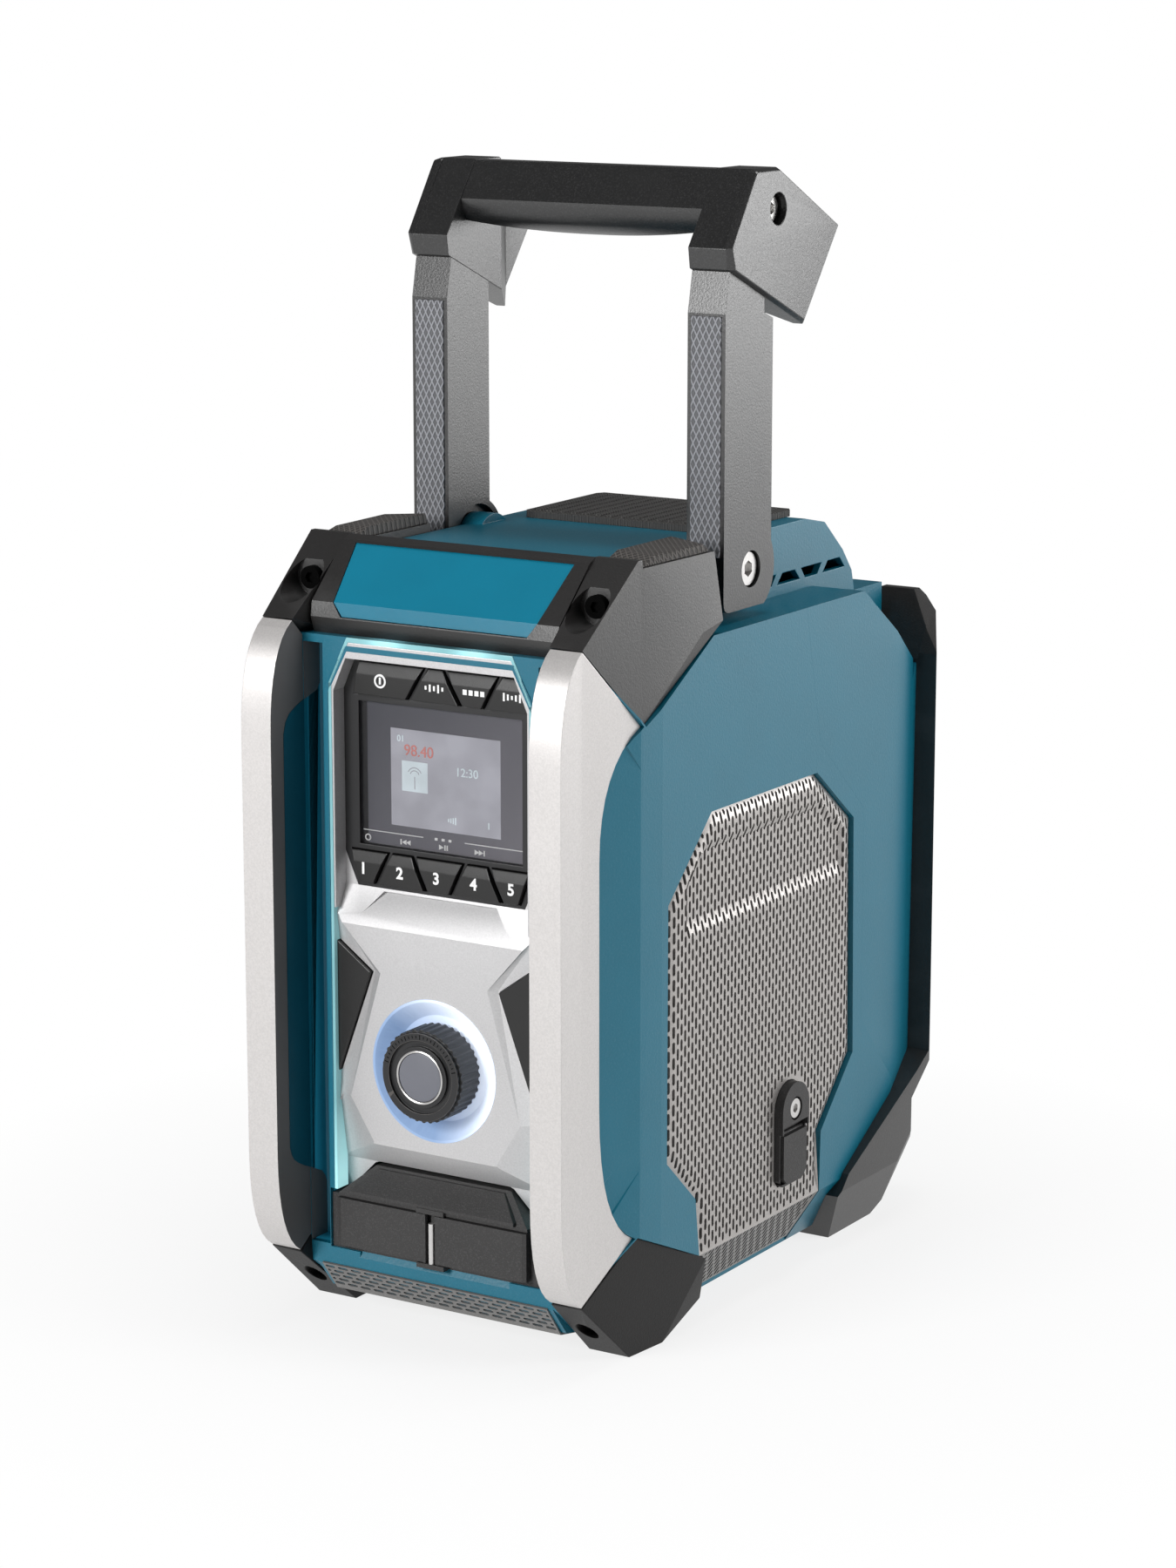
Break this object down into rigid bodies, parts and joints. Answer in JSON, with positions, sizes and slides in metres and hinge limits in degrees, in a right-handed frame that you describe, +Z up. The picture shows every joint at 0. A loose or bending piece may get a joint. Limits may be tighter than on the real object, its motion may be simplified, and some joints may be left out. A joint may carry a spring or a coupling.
{
  "type": "jobsite radio",
  "caption": "Rugged battery jobsite radio with side speakers behind slotted grilles, rubber bumpers, front roll bars, tuning knob, display and a fold-back carrying handle.",
  "frame": {"origin": "on the ground under the middle of the radio's bounding box", "axes": "+X to the right as seen from the front, +Y to the back, +Z up"},
  "size_m": [0.162, 0.282, 0.4256],
  "materials": {
    "teal_shell": "fine moulded grain, satin teal",
    "black_rubber": "soft matte elastomer",
    "ribbed_rubber": "ribbed matte elastomer",
    "silver_paint": "satin silver paint",
    "perforated_steel": "slotted sheet, satin grey paint",
    "black_plastic": "matte black",
    "handle_plastic": "glass-filled nylon, fine sparkle grain",
    "handle_rubber": "diamond-textured grip rubber",
    "speaker_basket": "plain",
    "speaker_paper": "treated paper cone with rubber surround",
    "magnet_steel": "plated",
    "light_guide_plastic": "translucent, lit from behind",
    "display_glass": "clear gloss",
    "lcd_glass": "lit display",
    "socket_steel": "plated",
    "bright_steel": "stainless",
    "circuit_board": "solder mask",
    "contact_brass": "plated contacts",
    "knob_plastic": "ribbed, fine grain",
    "button_plastic": "fine grain with white legends"
  },
  "bodies": {
    "casing": {"front_housing": "teal_shell", "rear_housing": "teal_shell", "side_cover_left": "teal_shell", "side_cover_right": "teal_shell", "top_cover": "teal_shell", "top_pad": "ribbed_rubber", "top_bumper": "black_rubber", "nameplate": "teal_shell", "corner_pads": "black_rubber", "roll_bars": "silver_paint", "front_feet": "black_rubber", "rear_guards": "black_rubber", "grille_left": "perforated_steel", "grille_right": "perforated_steel", "belly_grille": "perforated_steel", "speaker_baffles": "black_plastic", "speaker_frames": "speaker_basket", "speaker_cones": "speaker_paper", "speaker_magnets": "magnet_steel", "fascia": "silver_paint", "light_guide": "light_guide_plastic", "halo_ring": "light_guide_plastic", "display_frame": "black_plastic", "display_lens": "display_glass", "lcd_module": "lcd_glass", "port_tray": "black_plastic", "usb_socket": "socket_steel", "aux_socket": "black_plastic", "port_rod": "bright_steel", "main_board": "circuit_board", "battery_terminals": "contact_brass", "dc_jack": "black_plastic", "dc_cover_base": "black_rubber", "casing_screws": "bright_steel", "pivot_screws": "bright_steel", "encoder": "black_plastic"},
    "handle": {"handle_arms": "handle_plastic", "handle_corners": "handle_plastic", "hand_grip": "handle_plastic", "arm_pads": "handle_rubber", "handle_screws": "bright_steel"},
    "knob_push": {"encoder_plunger": "socket_steel"},
    "knob_turn": {"encoder_shaft": "socket_steel", "knob": "knob_plastic"},
    "power_button_body": {"power_button": "button_plastic"},
    "source_button_body": {"source_button": "button_plastic"},
    "menu_button_body": {"menu_button": "button_plastic"},
    "info_button_body": {"info_button": "button_plastic"},
    "preset_button_1_body": {"preset_button_1": "button_plastic"},
    "preset_button_2_body": {"preset_button_2": "button_plastic"},
    "preset_button_3_body": {"preset_button_3": "button_plastic"},
    "preset_button_4_body": {"preset_button_4": "button_plastic"},
    "preset_button_5_body": {"preset_button_5": "button_plastic"},
    "tune_button_body": {"tune_button": "button_plastic"},
    "tone_button_body": {"tone_button": "button_plastic"},
    "usb_cover_body": {"usb_cover": "black_rubber"},
    "aux_cover_body": {"aux_cover": "black_rubber"},
    "dc_cover_body": {"dc_cover": "black_rubber"},
    "battery_door_body": {"battery_door": "teal_shell"},
    "door_latch_body": {"door_latch": "black_plastic"}
  },
  "joints": [
    {"name": "handle_fold", "type": "hinge", "parent": "casing", "child": "handle", "pos_m": [0, -0.0088, 0.2795], "axis": [-1, 0, 0], "range_deg": [0, 90]},
    {"name": "knob_press", "type": "slide", "parent": "casing", "child": "knob_push", "axis": [0, 1, 0], "range_m": [0, 0.001], "stiffness_N_per_m": 2500, "springref_m": -0.0002},
    {"name": "knob_rotation", "type": "hinge", "parent": "knob_push", "child": "knob_turn", "pos_m": [0, -0.1193, 0.1036], "axis": [0, 1, 0], "continuous": true},
    {"name": "power_press", "type": "slide", "parent": "casing", "child": "power_button_body", "axis": [0, 1, 0], "range_m": [0, 0.001], "stiffness_N_per_m": 2000, "springref_m": -0.0002},
    {"name": "source_press", "type": "slide", "parent": "casing", "child": "source_button_body", "axis": [0, 1, 0], "range_m": [0, 0.001], "stiffness_N_per_m": 2000, "springref_m": -0.0002},
    {"name": "menu_press", "type": "slide", "parent": "casing", "child": "menu_button_body", "axis": [0, 1, 0], "range_m": [0, 0.001], "stiffness_N_per_m": 2000, "springref_m": -0.0002},
    {"name": "info_press", "type": "slide", "parent": "casing", "child": "info_button_body", "axis": [0, 1, 0], "range_m": [0, 0.001], "stiffness_N_per_m": 2000, "springref_m": -0.0002},
    {"name": "preset_1_press", "type": "slide", "parent": "casing", "child": "preset_button_1_body", "axis": [0, 1, 0], "range_m": [0, 0.001], "stiffness_N_per_m": 2000, "springref_m": -0.0002},
    {"name": "preset_2_press", "type": "slide", "parent": "casing", "child": "preset_button_2_body", "axis": [0, 1, 0], "range_m": [0, 0.001], "stiffness_N_per_m": 2000, "springref_m": -0.0002},
    {"name": "preset_3_press", "type": "slide", "parent": "casing", "child": "preset_button_3_body", "axis": [0, 1, 0], "range_m": [0, 0.001], "stiffness_N_per_m": 2000, "springref_m": -0.0002},
    {"name": "preset_4_press", "type": "slide", "parent": "casing", "child": "preset_button_4_body", "axis": [0, 1, 0], "range_m": [0, 0.001], "stiffness_N_per_m": 2000, "springref_m": -0.0002},
    {"name": "preset_5_press", "type": "slide", "parent": "casing", "child": "preset_button_5_body", "axis": [0, 1, 0], "range_m": [0, 0.001], "stiffness_N_per_m": 2000, "springref_m": -0.0002},
    {"name": "tune_press", "type": "slide", "parent": "casing", "child": "tune_button_body", "axis": [0, 1, 0], "range_m": [0, 0.001], "stiffness_N_per_m": 2000, "springref_m": -0.0002},
    {"name": "tone_press", "type": "slide", "parent": "casing", "child": "tone_button_body", "axis": [0, 1, 0], "range_m": [0, 0.001], "stiffness_N_per_m": 2000, "springref_m": -0.0002},
    {"name": "usb_cover_hinge", "type": "hinge", "parent": "casing", "child": "usb_cover_body", "pos_m": [-0.0029, -0.1218, 0.04], "axis": [0, 0, 1], "range_deg": [0, 85]},
    {"name": "aux_cover_hinge", "type": "hinge", "parent": "casing", "child": "aux_cover_body", "pos_m": [0.0029, -0.1218, 0.04], "axis": [0, 0, -1], "range_deg": [0, 85]},
    {"name": "dc_cover_hinge", "type": "hinge", "parent": "casing", "child": "dc_cover_body", "pos_m": [0.0755, 0.012, 0.0591], "axis": [0, -1, 0], "range_deg": [0, 90]},
    {"name": "battery_door_hinge", "type": "hinge", "parent": "casing", "child": "battery_door_body", "pos_m": [0, 0.1287, 0.0483], "axis": [-1, 0, 0], "range_deg": [0, 95]},
    {"name": "latch_slide", "type": "slide", "parent": "battery_door_body", "child": "door_latch_body", "axis": [0, 0, -1], "range_m": [0, 0.003], "stiffness_N_per_m": 1500, "springref_m": -0.0005}
  ]
}
